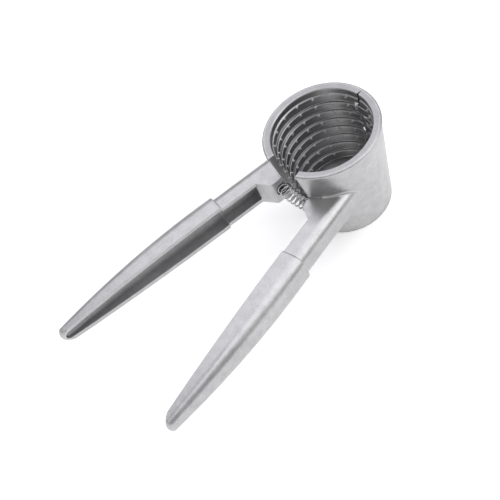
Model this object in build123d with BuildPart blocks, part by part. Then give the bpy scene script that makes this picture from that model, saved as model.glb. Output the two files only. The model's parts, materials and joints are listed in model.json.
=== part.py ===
from build123d import *

import os
from math import atan2, cos, degrees, pi, radians, sin, sqrt

# Cone nutcracker, standing on its cup with the jaws open as its spring holds them.
# Two mirror-image castings carry half a ribbed cup, a neck and a hollow-backed grip each.
# They turn on one upright pin at the back of the cup, and a spring at the front parts them.
# Millimetres and degrees. +Z up, grips towards -Y, and x = 0 is the mirror plane.
# It is drawn about the centre of the cup's underside, and at the end it is moved along Y so
# that the origin is the middle of its footprint. The cup is round in this open position.

# Cup
cup_height = 47.8
rim_radius = 26.0
rim_width = 3.8
lip_height = 1.3
lip_step = 0.4
lip_rounding = 0.7
bore_edge_chamfer = 0.4
foot_radius = 19.3
foot_rounding = 1.0
floor_thickness = 3.0
wall_at_top = 3.7
wall_at_foot = 2.5

# Ribs and teeth in the bore
first_rib_drop = 3.3
rib_pitch = 4.85
rib_width = 2.6
rib_depth = 1.1
rib_undercut = 0.3
rib_rounding = 0.6
tooth_columns = 8
tooth_spacing = 20.0
first_tooth_angle = -68.0
tooth_drop = 0.9
tooth_height = 0.6
tooth_base_radius = 0.85
tooth_tip_radius = 0.35
tooth_sink = 0.4

# Opening and hinge
half_opening = 9.5
closed_gap = 0.3
hinge_setback = 1.0
stop_gap = 0.1
pin_radius = 1.2
pin_clearance = 0.04
pin_end_standout = 0.6
pin_end_chamfer = 0.4
knuckle_radius = 2.5
knuckle_clearance = 0.35
knuckle_end_gap = 0.3
middle_knuckle_height = 9.0
outer_knuckle_height = 4.8
knuckle_centre_share = 0.66
boss_sink = 1.6
boss_reach = 7.0
boss_shoulder_reach = 4.5
boss_overhang = 1.2

# Neck and grip, measured in the half's own plane from the hinge axis towards the tip
handle_height = 25.5
handle_inset = 7.3
neck_length = 28.8
neck_width = 9.7
neck_depth = 12.7
neck_rounding = 5.0
neck_wall = 1.8
neck_root_fillet = 1.2
neck_sink_widths = 1.8
grip_length = 87.0
grip_wall = 1.9
shoulder_width = 10.9
middle_width = 9.9
tip_width = 4.9
shoulder_depth = 14.9
middle_depth = 13.3
tip_radius = 4.1
tip_drop = 0.5
tip_roundness = 9.0
tip_fullness = 1.6
back_rounding_share = 0.37
shoulder_rounding = 0.6

# Spring seat and spring
seat_gap = 1.2
seat_projection = 6.3
seat_heel = 4.6
seat_rounding = 1.0
spring_wire_radius = 0.36
spring_outer_radius = 3.05
spring_turns = 11
spring_socket_clearance = 0.35
spring_socket_depth = 3.5
spring_setback = 4.5
spring_end_gap = 0.1

# Worked-out places
tiny = 0.01
far = 400.0
hinge_y = rim_radius - hinge_setback
lip_z = cup_height - lip_height
rim_inner_radius = rim_radius - rim_width
first_rib_z = cup_height - first_rib_drop
rib_count = int((first_rib_z - floor_thickness) / rib_pitch)
neck_bottom = handle_height - neck_depth / 2


def cone_radius(height):
    """Radius of the cup's outer wall."""
    return foot_radius + (rim_radius - lip_step - foot_radius) * height / lip_z


def crest_radius(height):
    """Radius at the ribs' crests: the wall thins evenly towards the floor."""
    share = (height - floor_thickness) / (first_rib_z - floor_thickness)
    wall = wall_at_foot + (wall_at_top - wall_at_foot) * share
    return cone_radius(height) - wall


def on_a_crest(corner):
    """True for a corner of the bore's outline that is on the inner face of a rib."""
    return corner.Y > 2 * floor_thickness and abs(corner.X - crest_radius(corner.Y)) < tiny


# Distances from the hinge axis along the open half's own split plane
wall_front = hinge_y * cos(radians(half_opening)) + sqrt(
    cone_radius(handle_height) ** 2 - (hinge_y * sin(radians(half_opening))) ** 2
)
seat_front = wall_front + seat_projection
seat_heel_reach = seat_front + seat_heel
spring_reach = seat_front - spring_setback
neck_start = wall_front - neck_sink_widths * neck_width
shoulder_reach = wall_front + neck_length
tip_reach = shoulder_reach + grip_length
tip_start = tip_reach - tip_radius

# A coil's end leans against the flat bottom of its socket, so the room grows with the coil
spring_end_room = spring_end_gap + spring_outer_radius * (seat_gap + spring_socket_depth) / spring_reach

outward = Vector(cos(radians(half_opening)), sin(radians(half_opening)), 0)
tipward = Vector(sin(radians(half_opening)), -cos(radians(half_opening)), 0)
hinge_point = Vector(0, hinge_y, 0)
half_plane = Plane(origin=hinge_point, x_dir=outward, z_dir=(0, 0, 1))


def across_handle(reach, drop=0):
    """Plane across the right handle, facing the tip: x outward from the open side, y up."""
    origin = hinge_point + outward * handle_inset + tipward * reach
    return Plane(origin=origin + Vector(0, 0, handle_height - drop), x_dir=outward, z_dir=tipward)


def rounded_back(width, depth, rounding):
    """Cross-section of neck or grip: flat open side at x = 0, rounded back at x = width."""
    with BuildSketch() as section:
        Rectangle(width, depth, align=(Align.MIN, Align.CENTER))
        fillet(section.vertices().group_by(Axis.X)[-1], rounding)
    return section.sketch


def along_grip(share, at_shoulder, midway, at_tip):
    """A size that runs smoothly through three stated ones: share 0 at the shoulder, 1 at the tip."""
    start = at_shoulder * (1 - share) * (1 - 2 * share)
    return start + 4 * midway * share * (1 - share) + at_tip * share * (2 * share - 1)


def grip_section(share, wall):
    """The grip's cross-section, smaller by a wall thickness on every closed side."""
    width = along_grip(share, shoulder_width, middle_width, tip_width) - wall
    depth = along_grip(share, shoulder_depth, middle_depth, 2 * tip_radius) - 2 * wall
    return rounded_back(width, depth, back_rounding_share * depth)


def grip_station(share):
    """The plane of a cross-section: the grip droops a little towards its tip."""
    return across_handle(shoulder_reach + (tip_start - shoulder_reach) * share, tip_drop * share**2)


def rounded_end(start, end, across, radius):
    """A strip from start to end along x, square at its start and round at its end."""
    with BuildSketch() as outline:
        with Locations(((start + end - radius) / 2, across)):
            Rectangle(end - radius - start, far)
        with Locations((end - radius, across)):
            Circle(radius)
    return outline.sketch


# ---- grip and its hollow ----
# the last cross-section lies past the tip, where the egg-shaped end cuts the grip off
grip_shares = [0, 0.25, 0.5, 0.75, 1, 1.1]
shoulder_centre = across_handle(shoulder_reach).origin
grip_side = Plane(
    origin=hinge_point + outward * handle_inset + Vector(0, 0, handle_height),
    x_dir=tipward,
    z_dir=-outward,
)

# what is outside the egg-shaped end of the grip
tip_egg = scale(
    Sphere(1, mode=Mode.PRIVATE),
    by=(tip_fullness * tip_width / 2, tip_fullness * tip_radius, tip_roundness),
)
egg_plane = across_handle(tip_reach - tip_roundness, tip_drop)
egg_plane.origin = egg_plane.origin + outward * (tip_width / 2)

with BuildPart() as tip_waste:
    with BuildSketch(egg_plane):
        Rectangle(far, far)
    extrude(amount=2 * tip_roundness)
    add(egg_plane * tip_egg, mode=Mode.SUBTRACT)

with BuildPart() as grip:
    for share in grip_shares:
        with BuildSketch(grip_station(share)):
            add(grip_section(share, 0))
    loft()
    add(tip_waste.part, mode=Mode.SUBTRACT)
    shoulder = grip.faces().filter_by(GeomType.PLANE).sort_by_distance(shoulder_centre)[0]
    fillet(shoulder.edges().sort_by_distance(shoulder_centre)[1:], shoulder_rounding)

with BuildPart() as grip_hollow:
    for share in grip_shares:
        with BuildSketch(grip_station(share)):
            add(grip_section(share, grip_wall))
    loft()
    with BuildSketch(grip_side):
        add(rounded_end(shoulder_reach - tiny, tip_reach - grip_wall, -tip_drop, tip_radius - grip_wall))
    extrude(amount=far, both=True, mode=Mode.INTERSECT)

# ---- rings of teeth that point inward from the ribs ----
with BuildPart() as teeth:
    for index in range(rib_count):
        height = first_rib_z - index * rib_pitch - tooth_drop
        with Locations(Plane.XY.offset(height)):
            with PolarLocations(
                crest_radius(height) + tooth_sink,
                tooth_columns,
                start_angle=first_tooth_angle,
                angular_range=tooth_columns * tooth_spacing,
            ):
                Cone(
                    tooth_base_radius,
                    tooth_tip_radius,
                    tooth_height + tooth_sink,
                    rotation=(0, -90, 0),
                    align=(Align.CENTER, Align.CENTER, Align.MIN),
                )

# ---- bore of the cup: what is cut away round its ribs and teeth ----
with BuildPart() as bore:
    with BuildSketch(Plane.XZ):
        with BuildLine():
            points = [(0, cup_height), (rim_inner_radius + bore_edge_chamfer, cup_height)]
            points += [(rim_inner_radius, cup_height - bore_edge_chamfer)]
            points += [(rim_inner_radius, first_rib_z)]
            for index in range(rib_count):
                top = first_rib_z - index * rib_pitch
                bottom = top - rib_width
                following = max(top - rib_pitch, floor_thickness)
                points += [(crest_radius(top), top), (crest_radius(bottom), bottom)]
                points += [(crest_radius(bottom) + rib_depth, bottom - rib_undercut)]
                points += [(crest_radius(following) + rib_depth, following)]
            points += [(0, floor_thickness)]
            Polyline(*points, close=True)
        bore_outline = make_face()
        fillet(bore_outline.vertices().filter_by(on_a_crest), rib_rounding)
    revolve(axis=Axis.Z)
    add(teeth.part, mode=Mode.SUBTRACT)


def on_cup_wall(edge):
    """True for an edge that lies on the cup's outer wall, between its foot and its lip."""
    points = [edge @ 0, edge @ 0.5, edge @ 1]
    return all(
        abs(sqrt(point.X**2 + point.Y**2) - cone_radius(point.Z)) < 2 * tiny
        and abs(point.Z - handle_height) < neck_depth
        for point in points
    )


# ---- right-hand casting without its hinge ----
with BuildPart() as casting:
    with BuildSketch(Plane.XZ):
        with BuildLine():
            Polyline(
                (0, 0),
                (foot_radius, 0),
                (cone_radius(lip_z), lip_z),
                (rim_radius, lip_z),
                (rim_radius, cup_height),
                (0, cup_height),
                close=True,
            )
        cup_outline = make_face()
        corners = cup_outline.vertices()
        fillet(corners.sort_by_distance((rim_radius, cup_height))[0], lip_rounding)
        fillet(corners.sort_by_distance((foot_radius, 0))[0], foot_rounding)
    revolve(axis=Axis.Z)

    with BuildSketch(across_handle(neck_start)):
        add(rounded_back(neck_width, neck_depth, neck_rounding))
    extrude(amount=shoulder_reach - neck_start)
    fillet(casting.edges().filter_by(on_cup_wall), neck_root_fillet)

    with BuildSketch(half_plane.offset(neck_bottom)):
        with BuildLine():
            Polyline(
                (seat_gap, -neck_start),
                (seat_gap, -seat_front),
                (handle_inset, -seat_heel_reach),
                (handle_inset + neck_wall, -seat_heel_reach),
                (handle_inset + neck_wall, -neck_start),
                close=True,
            )
        seat_outline = make_face()
        fillet(seat_outline.vertices().sort_by_distance((seat_gap, -seat_front))[0], seat_rounding)
    extrude(amount=neck_depth)
    add(grip.part)
    add(bore.part, mode=Mode.SUBTRACT)
    add(grip_hollow.part, mode=Mode.SUBTRACT)

    # hollow of the neck, which runs on into the grip's
    with BuildSketch(across_handle(seat_heel_reach)):
        add(rounded_back(neck_width - neck_wall, neck_depth - 2 * neck_wall, neck_rounding - neck_wall))
    extrude(amount=shoulder_reach + grip_wall - seat_heel_reach, mode=Mode.SUBTRACT)

    # socket for the end of the spring
    socket_plane = Plane(
        origin=hinge_point + tipward * spring_reach + Vector(0, 0, handle_height),
        x_dir=tipward,
        z_dir=outward,
    )
    with BuildSketch(socket_plane):
        Circle(spring_outer_radius + spring_socket_clearance)
    extrude(amount=seat_gap + spring_socket_depth, mode=Mode.SUBTRACT)

    # cut away the other half: the split plane in front of the hinge, the stop faces behind it
    with BuildSketch(Plane.XY.offset(-tiny)):
        with BuildLine():
            Polyline(
                (stop_gap / 2, hinge_y + far),
                (stop_gap / 2, hinge_y),
                tuple(hinge_point + outward * (closed_gap / 2) + tipward * far)[:2],
                (-far, -far),
                (-far, hinge_y + far),
                close=True,
            )
        make_face()
    extrude(amount=far, mode=Mode.SUBTRACT)

# ---- knuckles: which heights belong to which half ----
knuckle_centre = knuckle_centre_share * cup_height
middle_bottom = knuckle_centre - middle_knuckle_height / 2
middle_top = knuckle_centre + middle_knuckle_height / 2
lower_bottom = middle_bottom - knuckle_end_gap - outer_knuckle_height
upper_top = middle_top + knuckle_end_gap + outer_knuckle_height
outer_knuckles = [
    (lower_bottom, middle_bottom - knuckle_end_gap),
    (middle_top + knuckle_end_gap, upper_top),
]
middle_knuckle = [(middle_bottom, middle_top)]
boss_y = cone_radius(lower_bottom) - boss_sink
sweep_radius = sqrt((hinge_y - boss_y) ** 2 + boss_overhang**2) + knuckle_clearance


def knuckle_outline():
    """Plan of a knuckle on the right half: a barrel round the pin and a boss into the wall."""
    with BuildSketch() as outline:
        with Locations((0, hinge_y)):
            Circle(knuckle_radius)
        with BuildLine():
            Polyline(
                (-boss_overhang, hinge_y),
                (-boss_overhang, boss_y),
                (boss_reach, boss_y),
                (boss_shoulder_reach, boss_y + boss_sink),
                (knuckle_radius, hinge_y),
                close=True,
            )
        make_face()
    return outline.sketch


def hinged(half, knuckles, pockets):
    """The right-hand casting with knuckles at some heights and pockets for the other half's."""
    with BuildPart() as result:
        add(half)
        for bottom, top in knuckles:
            with BuildSketch(Plane.XY.offset(bottom)):
                add(knuckle_outline())
            extrude(amount=top - bottom)
        for bottom, top in pockets:
            with BuildSketch(Plane.XY.offset(bottom - knuckle_end_gap)):
                with Locations((0, hinge_y)):
                    Circle(sweep_radius)
            extrude(amount=top - bottom + 2 * knuckle_end_gap, mode=Mode.SUBTRACT)
        with BuildSketch(Plane.XY.offset(lower_bottom - pin_end_standout - knuckle_end_gap)):
            with Locations((0, hinge_y)):
                Circle(pin_radius + pin_clearance)
        bore_length = upper_top - lower_bottom + 2 * (pin_end_standout + knuckle_end_gap)
        extrude(amount=bore_length, mode=Mode.SUBTRACT)
    return result.part


# ---- right half: the outer two knuckles ----
with BuildPart() as right_half:
    add(hinged(casting.part, outer_knuckles, middle_knuckle))

# ---- left half: the same casting mirrored, with the middle knuckle ----
with BuildPart() as left_half:
    add(mirror(hinged(casting.part, middle_knuckle, outer_knuckles), about=Plane.YZ))

# ---- hinge pin ----
with BuildPart() as hinge_pin:
    with BuildSketch(Plane.XY.offset(lower_bottom - pin_end_standout)):
        with Locations((0, hinge_y)):
            Circle(pin_radius)
    extrude(amount=upper_top - lower_bottom + 2 * pin_end_standout)
    chamfer(hinge_pin.edges().filter_by(GeomType.CIRCLE), pin_end_chamfer)

# ---- spring, bent round the hinge axis between its two sockets ----
spring_mean_radius = spring_outer_radius - spring_wire_radius
spring_half_angle = half_opening + degrees(
    atan2(seat_gap + spring_socket_depth - spring_wire_radius - spring_end_room, spring_reach)
)


def spring_point(share):
    """Point on the wire's centreline, share 0 at the left end and 1 at the right end."""
    bend = radians(spring_half_angle * (2 * share - 1))
    turn = 2 * pi * spring_turns * share
    reach = spring_reach + spring_mean_radius * cos(turn)
    height = handle_height + spring_mean_radius * sin(turn)
    return (reach * sin(bend), hinge_y - reach * cos(bend), height)


points_per_turn = 12
with BuildPart() as spring:
    with BuildLine() as wire_line:
        steps = points_per_turn * spring_turns
        Spline(*[spring_point(step / steps) for step in range(steps + 1)])
    with BuildSketch(Plane(origin=wire_line.line @ 0, z_dir=wire_line.line % 0)):
        Circle(spring_wire_radius)
    sweep(path=wire_line.line, is_frenet=True)

# ---- files, with the origin in the middle of the footprint ----
pieces = {"right_half": right_half, "left_half": left_half, "hinge_pin": hinge_pin, "spring": spring}
boxes = [piece.part.bounding_box() for piece in pieces.values()]
middle_y = (max(box.max.Y for box in boxes) + min(box.min.Y for box in boxes)) / 2

os.makedirs("parts", exist_ok=True)
for name, piece in pieces.items():
    piece.part.move(Location((0, -middle_y, 0)))
    piece.part.label = name
    export_step(piece.part, f"parts/{name}.step")
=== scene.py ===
import json
from math import cos, pi, radians, sin

import bmesh
import bpy
from mathutils import Matrix, Vector


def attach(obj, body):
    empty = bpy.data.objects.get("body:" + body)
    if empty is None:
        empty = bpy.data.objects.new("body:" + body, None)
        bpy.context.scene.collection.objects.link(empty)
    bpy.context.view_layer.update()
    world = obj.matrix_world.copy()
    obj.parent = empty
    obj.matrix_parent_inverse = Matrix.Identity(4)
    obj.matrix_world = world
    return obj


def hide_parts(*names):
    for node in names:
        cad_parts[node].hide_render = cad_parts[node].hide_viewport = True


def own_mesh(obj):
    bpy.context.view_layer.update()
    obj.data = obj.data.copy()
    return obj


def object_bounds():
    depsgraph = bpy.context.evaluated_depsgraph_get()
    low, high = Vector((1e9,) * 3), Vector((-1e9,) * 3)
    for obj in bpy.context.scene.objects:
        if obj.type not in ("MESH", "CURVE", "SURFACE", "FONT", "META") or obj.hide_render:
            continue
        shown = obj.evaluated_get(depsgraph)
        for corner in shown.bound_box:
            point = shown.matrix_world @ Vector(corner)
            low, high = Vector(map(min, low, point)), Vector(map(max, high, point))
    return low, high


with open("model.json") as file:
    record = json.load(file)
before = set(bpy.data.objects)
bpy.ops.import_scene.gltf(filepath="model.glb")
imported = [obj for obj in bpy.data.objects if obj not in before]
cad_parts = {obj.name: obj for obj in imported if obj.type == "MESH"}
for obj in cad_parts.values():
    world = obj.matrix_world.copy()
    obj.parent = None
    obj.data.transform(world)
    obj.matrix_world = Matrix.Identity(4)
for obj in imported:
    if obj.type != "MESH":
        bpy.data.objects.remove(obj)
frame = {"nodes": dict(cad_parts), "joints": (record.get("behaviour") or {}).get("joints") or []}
cad_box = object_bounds()
nodes = frame["nodes"]


# ---- node helpers ----
def new_material(name):
    """A material with a Principled shader. Returns the material, its node tree and the shader."""
    material = bpy.data.materials.new(name)
    material.use_nodes = True
    tree = material.node_tree
    tree.nodes.clear()
    output = tree.nodes.new("ShaderNodeOutputMaterial")
    shader = tree.nodes.new("ShaderNodeBsdfPrincipled")
    tree.links.new(shader.outputs["BSDF"], output.inputs["Surface"])
    return material, tree, shader


def noise(tree, vector, scale, detail=4.0, roughness=0.55):
    """A noise texture in object space. Returns its grey output."""
    node = tree.nodes.new("ShaderNodeTexNoise")
    node.inputs["Scale"].default_value = scale
    node.inputs["Detail"].default_value = detail
    node.inputs["Roughness"].default_value = roughness
    tree.links.new(vector, node.inputs["Vector"])
    return node.outputs["Fac"]


def remap(tree, value, low, high, to_low, to_high):
    """Stretches low..high to to_low..to_high, clamped."""
    node = tree.nodes.new("ShaderNodeMapRange")
    node.inputs["From Min"].default_value = low
    node.inputs["From Max"].default_value = high
    node.inputs["To Min"].default_value = to_low
    node.inputs["To Max"].default_value = to_high
    tree.links.new(value, node.inputs["Value"])
    return node.outputs["Result"]


def combine(tree, operation, first, second):
    """A math node of two inputs, each a socket or a number."""
    node = tree.nodes.new("ShaderNodeMath")
    node.operation = operation
    for socket, value in zip(node.inputs, (first, second)):
        if isinstance(value, (int, float)):
            socket.default_value = value
        else:
            tree.links.new(value, socket)
    return node.outputs["Value"]


def mix_colour(tree, share, first, second):
    """Blends two colours, each a socket or an RGBA tuple, by a grey share."""
    node = tree.nodes.new("ShaderNodeMix")
    node.data_type = "RGBA"
    tree.links.new(share, node.inputs["Factor"])
    for name, value in (("A", first), ("B", second)):
        socket = [s for s in node.inputs if s.name == name and s.type == "RGBA"][0]
        if isinstance(value, tuple):
            socket.default_value = value
        else:
            tree.links.new(value, socket)
    return [s for s in node.outputs if s.type == "RGBA"][0]


def bump(tree, shader, height, strength, distance, normal=None):
    """Adds a bump to the shader, over another normal if one is given. distance is in metres."""
    node = tree.nodes.new("ShaderNodeBump")
    if normal:
        tree.links.new(normal, node.inputs["Normal"])
    node.inputs["Strength"].default_value = strength
    node.inputs["Distance"].default_value = distance
    tree.links.new(height, node.inputs["Height"])
    tree.links.new(node.outputs["Normal"], shader.inputs["Normal"])


def soft_normal(tree, radius):
    """The surface's direction with its edges rounded by a small radius."""
    rounded = tree.nodes.new("ShaderNodeBevel")
    rounded.samples = 6
    rounded.inputs["Radius"].default_value = radius
    return rounded.outputs["Normal"]


def edge_mask(tree, rounded):
    """1 on convex and concave edges, 0 on open faces, whatever the mesh's own divisions."""
    plain = tree.nodes.new("ShaderNodeNewGeometry")
    likeness = tree.nodes.new("ShaderNodeVectorMath")
    likeness.operation = "DOT_PRODUCT"
    tree.links.new(rounded, likeness.inputs[0])
    tree.links.new(plain.outputs["Normal"], likeness.inputs[1])
    flat_likeness = 0.995
    edge_likeness = 0.90
    return remap(tree, likeness.outputs["Value"], flat_likeness, edge_likeness, 0.0, 1.0)


def openness(tree, distance):
    """1 on open faces, falling towards 0 in grooves and corners."""
    node = tree.nodes.new("ShaderNodeAmbientOcclusion")
    node.samples = 8
    node.inputs["Distance"].default_value = distance
    return node.outputs["AO"]


def in_the_cup(tree, place):
    """1 inside a cone that runs within the cup's wall, 0 on its outside and on the grips."""
    cup_y = 0.053258
    cup_slope = 0.1355
    inner_radius = 0.0182
    fade = 0.0002
    parts = tree.nodes.new("ShaderNodeSeparateXYZ")
    tree.links.new(place, parts.inputs["Vector"])
    back = combine(tree, "SUBTRACT", parts.outputs["Y"], cup_y)
    back_square = combine(tree, "POWER", back, 2.0)
    across_square = combine(tree, "POWER", parts.outputs["X"], 2.0)
    radius = combine(tree, "SQRT", combine(tree, "ADD", back_square, across_square), 0.0)
    radius = combine(tree, "SUBTRACT", radius, combine(tree, "MULTIPLY", parts.outputs["Z"], cup_slope))
    return remap(tree, radius, inner_radius, inner_radius + fade, 1.0, 0.0)


# ---- aluminium: tones, painted shade, edge highlight, and lengths in metres ----
metal_dark = (0.42, 0.416, 0.416, 1.0)
metal_light = (0.51, 0.506, 0.507, 1.0)
metal_blotch = (0.36, 0.356, 0.36, 1.0)
metal_speckle = (0.66, 0.66, 0.67, 1.0)
# painted shade: dark colour laid into fine grooves and creases, where occlusion makes shade
painted_groove_shade = (0.18, 0.18, 0.185, 1.0)
# painted shade: near-black colour laid into the grip channels and other wide hollows
painted_hollow_shade = (0.07, 0.07, 0.073, 1.0)
# painted shade: darker colour laid over the whole inside of the cup
painted_cup_shade = (0.20, 0.20, 0.205, 1.0)
# edge colour: partly real wear, partly a painted highlight that lightens convex and concave edges alike
worn_and_highlit_edge = (0.85, 0.85, 0.86, 1.0)
edge_rounding = 0.0004
groove_reach = 0.0018
hollow_reach = 0.009
casting_relief = 0.00004
groove_shade_amount = 0.75
hollow_shade_amount = 0.3
cup_shade_amount = 0.35


def cast_aluminium():
    """Tumbled aluminium casting: satin, faintly clouded, edges lightened by wear and by a painted
    highlight, painted shade in its grooves, hollows and inside the cup.
    """
    material, tree, shader = new_material("cast_aluminium")
    place = tree.nodes.new("ShaderNodeTexCoord").outputs["Object"]
    cloud = noise(tree, place, 55.0, 5.0)
    blotch = noise(tree, place, 260.0, 4.0)
    grain = noise(tree, place, 1700.0, 3.0)
    rounded = soft_normal(tree, edge_rounding)
    edge = edge_mask(tree, rounded)
    groove = remap(tree, openness(tree, groove_reach), 0.15, 0.70, 1.0, 0.0)
    deep = remap(tree, openness(tree, hollow_reach), 0.20, 0.60, 1.0, 0.0)
    inside = in_the_cup(tree, place)
    clean = mix_colour(tree, remap(tree, cloud, 0.35, 0.65, 0.0, 1.0), metal_dark, metal_light)
    clean = mix_colour(tree, remap(tree, blotch, 0.40, 0.65, 0.0, 0.6), clean, metal_blotch)
    clean = mix_colour(tree, remap(tree, grain, 0.35, 0.65, 0.0, 0.35), clean, metal_speckle)
    # painted shade in fine grooves and creases, by ambient occlusion over a short reach
    shaded_colour = mix_colour(tree, combine(tree, "MULTIPLY", groove, groove_shade_amount), clean, painted_groove_shade)
    # painted shade in wide hollows such as the grip channels, by ambient occlusion over a long reach
    shaded_colour = mix_colour(tree, combine(tree, "MULTIPLY", deep, hollow_shade_amount), shaded_colour, painted_hollow_shade)
    # painted shade over the inside of the cup, from a cone-shaped mask
    shaded_colour = mix_colour(tree, combine(tree, "MULTIPLY", inside, cup_shade_amount), shaded_colour, painted_cup_shade)
    # edges lightened partly by wear and partly as a painted highlight
    wear_and_highlight = combine(tree, "MULTIPLY", edge, remap(tree, blotch, 0.3, 0.6, 0.5, 1.0))
    colour = mix_colour(tree, wear_and_highlight, shaded_colour, worn_and_highlit_edge)
    tree.links.new(colour, shader.inputs["Base Color"])
    shader.inputs["Metallic"].default_value = 1.0
    rough = remap(tree, cloud, 0.3, 0.7, 0.32, 0.42)
    rough = combine(tree, "ADD", rough, remap(tree, grain, 0.3, 0.7, -0.04, 0.04))
    rough = combine(tree, "SUBTRACT", rough, combine(tree, "MULTIPLY", edge, 0.08))
    tree.links.new(rough, shader.inputs["Roughness"])
    height = combine(tree, "ADD", grain, combine(tree, "MULTIPLY", blotch, 2.0))
    bump(tree, shader, height, 0.35, casting_relief, rounded)
    return material


pin_tint = (0.50, 0.50, 0.51)
spring_tint = (0.56, 0.56, 0.57)
steel_relief = 0.00002
steel_shade = 0.85


def steel(name, tint, roughness):
    """Drawn or turned steel with fine marks."""
    material, tree, shader = new_material(name)
    place = tree.nodes.new("ShaderNodeTexCoord").outputs["Object"]
    marks = noise(tree, place, 1500.0, 4.0)
    cloud = noise(tree, place, 200.0, 3.0)
    colour = mix_colour(
        tree,
        remap(tree, cloud, 0.35, 0.65, 0.0, 1.0),
        tuple(steel_shade * part for part in tint) + (1.0,),
        tint + (1.0,),
    )
    tree.links.new(colour, shader.inputs["Base Color"])
    shader.inputs["Metallic"].default_value = 1.0
    rough = remap(tree, marks, 0.3, 0.7, roughness * 0.8, roughness * 1.3)
    tree.links.new(rough, shader.inputs["Roughness"])
    bump(tree, shader, marks, 0.3, steel_relief)
    return material


def paint(piece, material):
    """Gives a piece one material."""
    piece.data.materials.clear()
    piece.data.materials.append(material)


# ---- materials on the CAD parts ----
aluminium = cast_aluminium()
paint(nodes["right_half"], aluminium)
paint(nodes["left_half"], aluminium)
paint(nodes["hinge_pin"], steel("pin_steel", pin_tint, 0.3))

# ---- spring: ground and closed end coils, open coils between, bent round the hinge axis ----
wire_radius = 0.00036
coil_radius = 0.00269
spring_reach = 0.0488347
spring_height = 0.0255
spring_half_angle = 14.119
open_turns = 10
closed_turns = 1.25
closed_pitch = 0.00075
steps_per_turn = 36
small_turn = 0.01
sides = 12
sharp_edge_angle = 50
jaw_hinge = frame["joints"][0]
hinge = Vector(jaw_hinge["pos_m"])
total_turns = open_turns + 2 * closed_turns
spring_length = 2 * radians(spring_half_angle) * spring_reach
open_pitch = (spring_length - 2 * closed_turns * closed_pitch) / open_turns


def on_spring_axis(bend):
    """Place on the spring's bent axis at an angle, in radians, about the hinge."""
    return hinge + spring_reach * Vector((sin(bend), -cos(bend), 0))


def along_spring(turn):
    """Distance along the spring's bent axis after so many turns from its left end."""
    first = min(turn, closed_turns) * closed_pitch
    middle = min(max(turn - closed_turns, 0), open_turns) * open_pitch
    last = max(turn - closed_turns - open_turns, 0) * closed_pitch
    return first + middle + last


def wire_point(turn):
    """Centre of the wire after so many turns."""
    bend = along_spring(turn) / spring_reach - radians(spring_half_angle)
    reach = spring_reach + coil_radius * cos(2 * pi * turn)
    height = spring_height + coil_radius * sin(2 * pi * turn)
    return Vector((hinge.x + reach * sin(bend), hinge.y - reach * cos(bend), height))


def coil(name):
    """The spring as one closed tube along the wire's path."""
    mesh = bmesh.new()
    count = int(total_turns * steps_per_turn)
    rings = []
    for step in range(count + 1):
        turn = total_turns * step / count
        before = wire_point(max(turn - small_turn, 0))
        ahead = (wire_point(min(turn + small_turn, total_turns)) - before).normalized()
        bend = along_spring(turn) / spring_reach - radians(spring_half_angle)
        axis_point = on_spring_axis(bend)
        axis_point.z = spring_height
        out = (wire_point(turn) - axis_point).normalized()
        side = ahead.cross(out).normalized()
        out = side.cross(ahead)
        ring = []
        for index in range(sides):
            angle = 2 * pi * index / sides
            offset = (out * cos(angle) + side * sin(angle)) * wire_radius
            ring.append(mesh.verts.new(wire_point(turn) + offset))
        rings.append(ring)
    for first, second in zip(rings, rings[1:]):
        for index in range(sides):
            after = (index + 1) % sides
            mesh.faces.new((first[index], first[after], second[after], second[index]))
    mesh.faces.new(list(reversed(rings[0])))
    mesh.faces.new(rings[-1])
    bmesh.ops.recalc_face_normals(mesh, faces=mesh.faces)
    data = bpy.data.meshes.new(name)
    mesh.to_mesh(data)
    mesh.free()
    data.shade_smooth()
    data.set_sharp_from_angle(angle=radians(sharp_edge_angle))
    piece = bpy.data.objects.new(name, data)
    bpy.context.scene.collection.objects.link(piece)
    return piece


spring = coil("spring_coils")
paint(spring, steel("spring_steel", spring_tint, 0.16))
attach(spring, "right")
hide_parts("spring")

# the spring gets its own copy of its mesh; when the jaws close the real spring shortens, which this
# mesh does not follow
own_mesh(spring)

# ---- floor ----
floor_size = 6.0
bpy.ops.mesh.primitive_plane_add(size=floor_size, location=(0, 0, cad_box[0][2]))
floor = bpy.context.object
floor.name = "floor"
floor_material, floor_tree, floor_shader = new_material("floor_paper")
floor_shader.inputs["Base Color"].default_value = (0.97, 0.97, 0.97, 1.0)
floor_shader.inputs["Roughness"].default_value = 0.9
floor_shader.inputs["Specular IOR Level"].default_value = 0.1
floor_shader.inputs["Emission Color"].default_value = (1.0, 1.0, 1.0, 1.0)
floor_shader.inputs["Emission Strength"].default_value = 0.38
paint(floor, floor_material)

# ---- camera ----
camera_azimuth = 68.4
camera_elevation = 50.4
camera_distance = 0.6282
camera_roll = 27.6
camera_lens = 107.7
camera_aim = Vector((0.0025, -0.0013, 0.0262))


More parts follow.
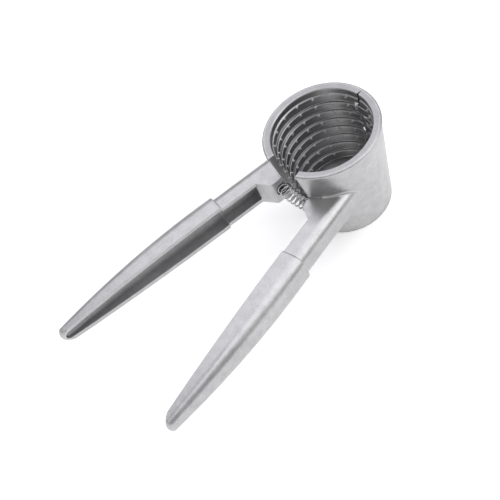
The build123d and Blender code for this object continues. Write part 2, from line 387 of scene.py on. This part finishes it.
def direction(azimuth, elevation):
    """Unit vector towards a place at that azimuth from -Y towards +X, and that elevation."""
    turned = radians(azimuth)
    raised = radians(elevation)
    across = cos(raised)
    return Vector((sin(turned) * across, -cos(turned) * across, sin(raised)))


def look(towards, roll):
    """Rotation of a camera or lamp that looks along a direction, turned about it."""
    back = -towards.normalized()
    right = Vector((0, 0, 1)).cross(back).normalized()
    up = back.cross(right)
    turn = radians(roll)
    rolled_right = right * cos(turn) + up * sin(turn)
    rolled_up = up * cos(turn) - right * sin(turn)
    return Matrix((rolled_right, rolled_up, back)).transposed().to_4x4()


camera_data = bpy.data.cameras.new("camera")
camera_data.lens = camera_lens
camera_data.sensor_width = 36.0
camera = bpy.data.objects.new("camera", camera_data)
bpy.context.scene.collection.objects.link(camera)
to_camera = direction(camera_azimuth, camera_elevation)
camera_place = Matrix.Translation(camera_aim + to_camera * camera_distance)
camera.matrix_world = camera_place @ look(-to_camera, -camera_roll)
bpy.context.scene.camera = camera


# ---- lights ----
def area_light(name, azimuth, elevation, distance, size, power, colour):
    """A square soft light that faces the cup."""
    data = bpy.data.lights.new(name, "AREA")
    data.shape = "SQUARE"
    data.size = size
    data.energy = power
    data.color = colour
    lamp = bpy.data.objects.new(name, data)
    bpy.context.scene.collection.objects.link(lamp)
    away = direction(azimuth, elevation)
    lamp.matrix_world = Matrix.Translation(camera_aim + away * distance) @ look(-away, 0)


area_light("top_light", 150, 62, 1.0, 0.95, 4.2, (0.95, 0.96, 1.0))
area_light("ceiling_light", 248, 52, 1.2, 0.8, 2.5, (0.94, 0.94, 1.0))
area_light("left_light", 300, 45, 1.2, 0.6, 0.3, (0.95, 0.96, 1.0))
area_light("front_light", 20, 28, 1.2, 0.4, 0.8, (1.0, 0.97, 0.93))
area_light("right_light", 138, 28, 1.1, 0.5, 1.6, (1.0, 0.97, 0.93))

world = bpy.data.worlds.new("studio")
world.use_nodes = True
background = world.node_tree.nodes["Background"]
background.inputs["Color"].default_value = (0.90, 0.90, 0.92, 1.0)
background.inputs["Strength"].default_value = 0.50
bpy.context.scene.world = world
bpy.context.scene.view_settings.view_transform = "Standard"
